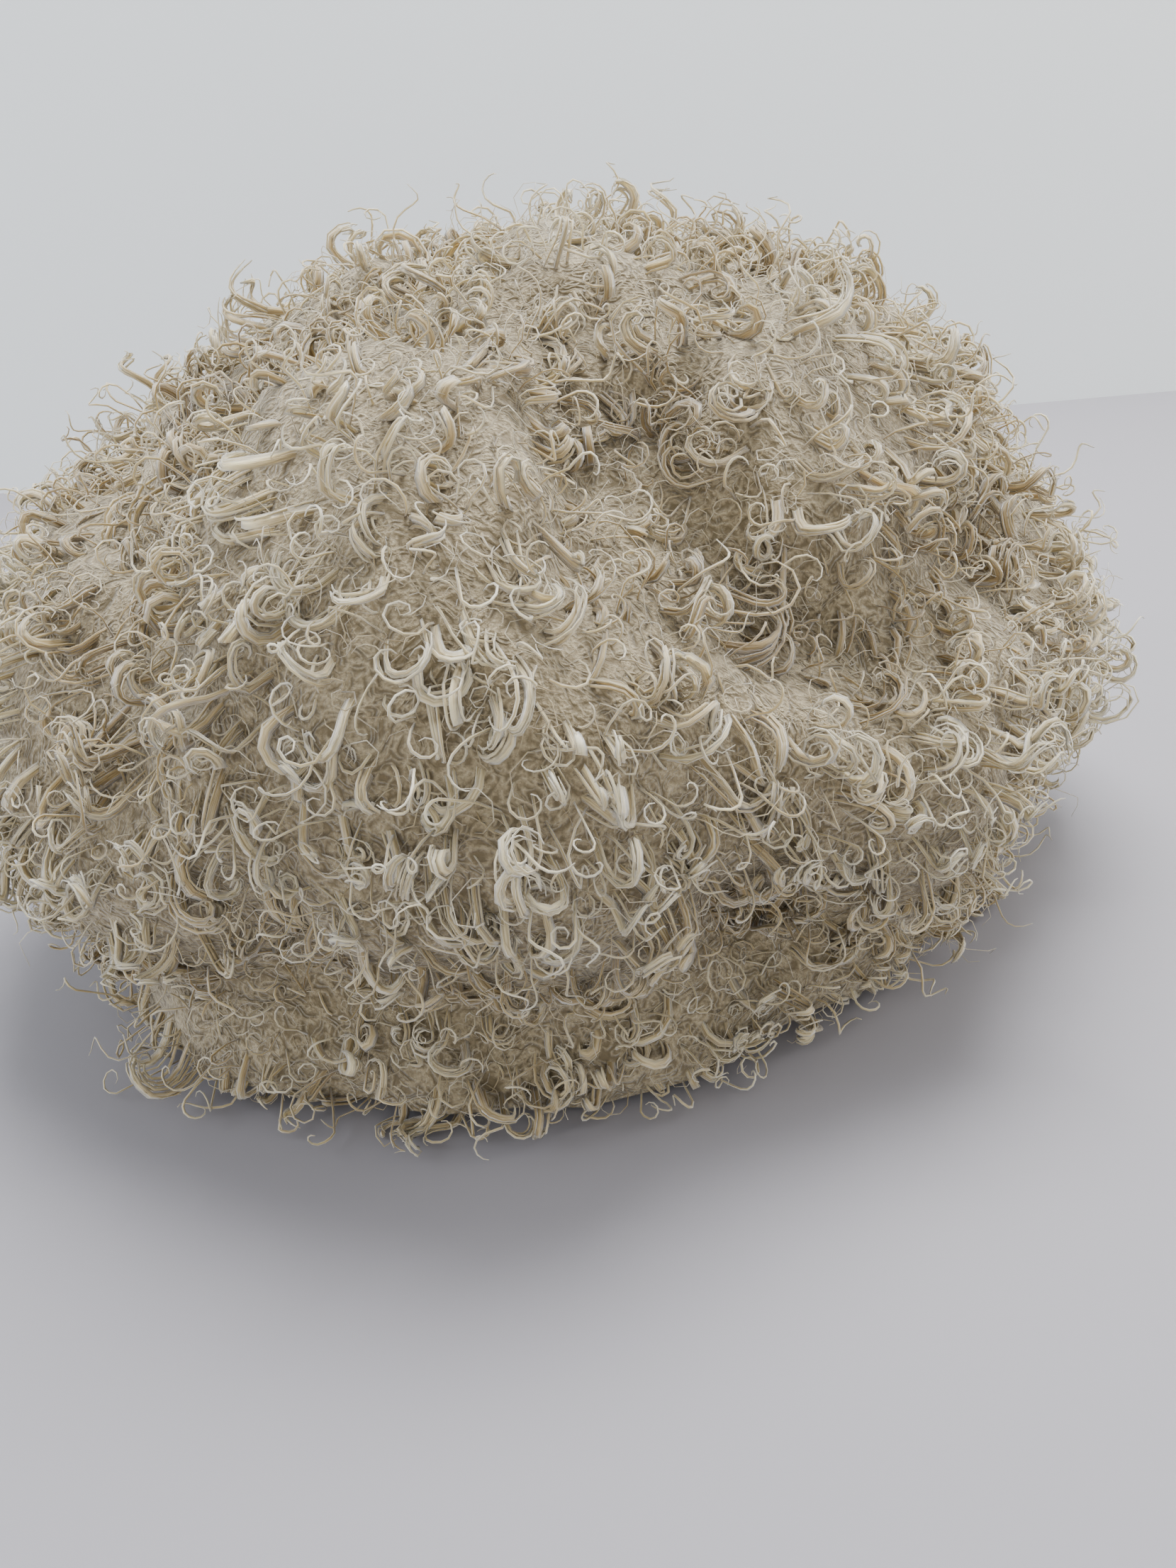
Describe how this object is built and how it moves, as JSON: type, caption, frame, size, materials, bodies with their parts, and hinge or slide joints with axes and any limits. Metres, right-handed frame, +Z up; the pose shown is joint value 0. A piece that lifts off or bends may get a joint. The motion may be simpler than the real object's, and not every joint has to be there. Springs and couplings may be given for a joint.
{
  "type": "turkmen telpek hat",
  "caption": "Tall sheepskin hat with a flaring band, a domed top and deep curly wool in locks, open below for the head.",
  "frame": {"origin": "under the middle of the whole hat, on the surface that its rim stands on", "axes": "+Z up out of the top, -Y towards the viewer of the picture, +X to the picture's right"},
  "size_m": [0.3614, 0.3182, 0.2015],
  "materials": {
    "hide": "matt suede, the flesh side of a tanned sheepskin",
    "wool": "long curly cream wool with a soft sheen"
  },
  "bodies": {
    "root": {"side_hide": "hide", "crown_hide": "hide", "side_fleece": "wool", "crown_fleece": "wool", "hem_fleece": "wool"}
  },
  "joints": []
}
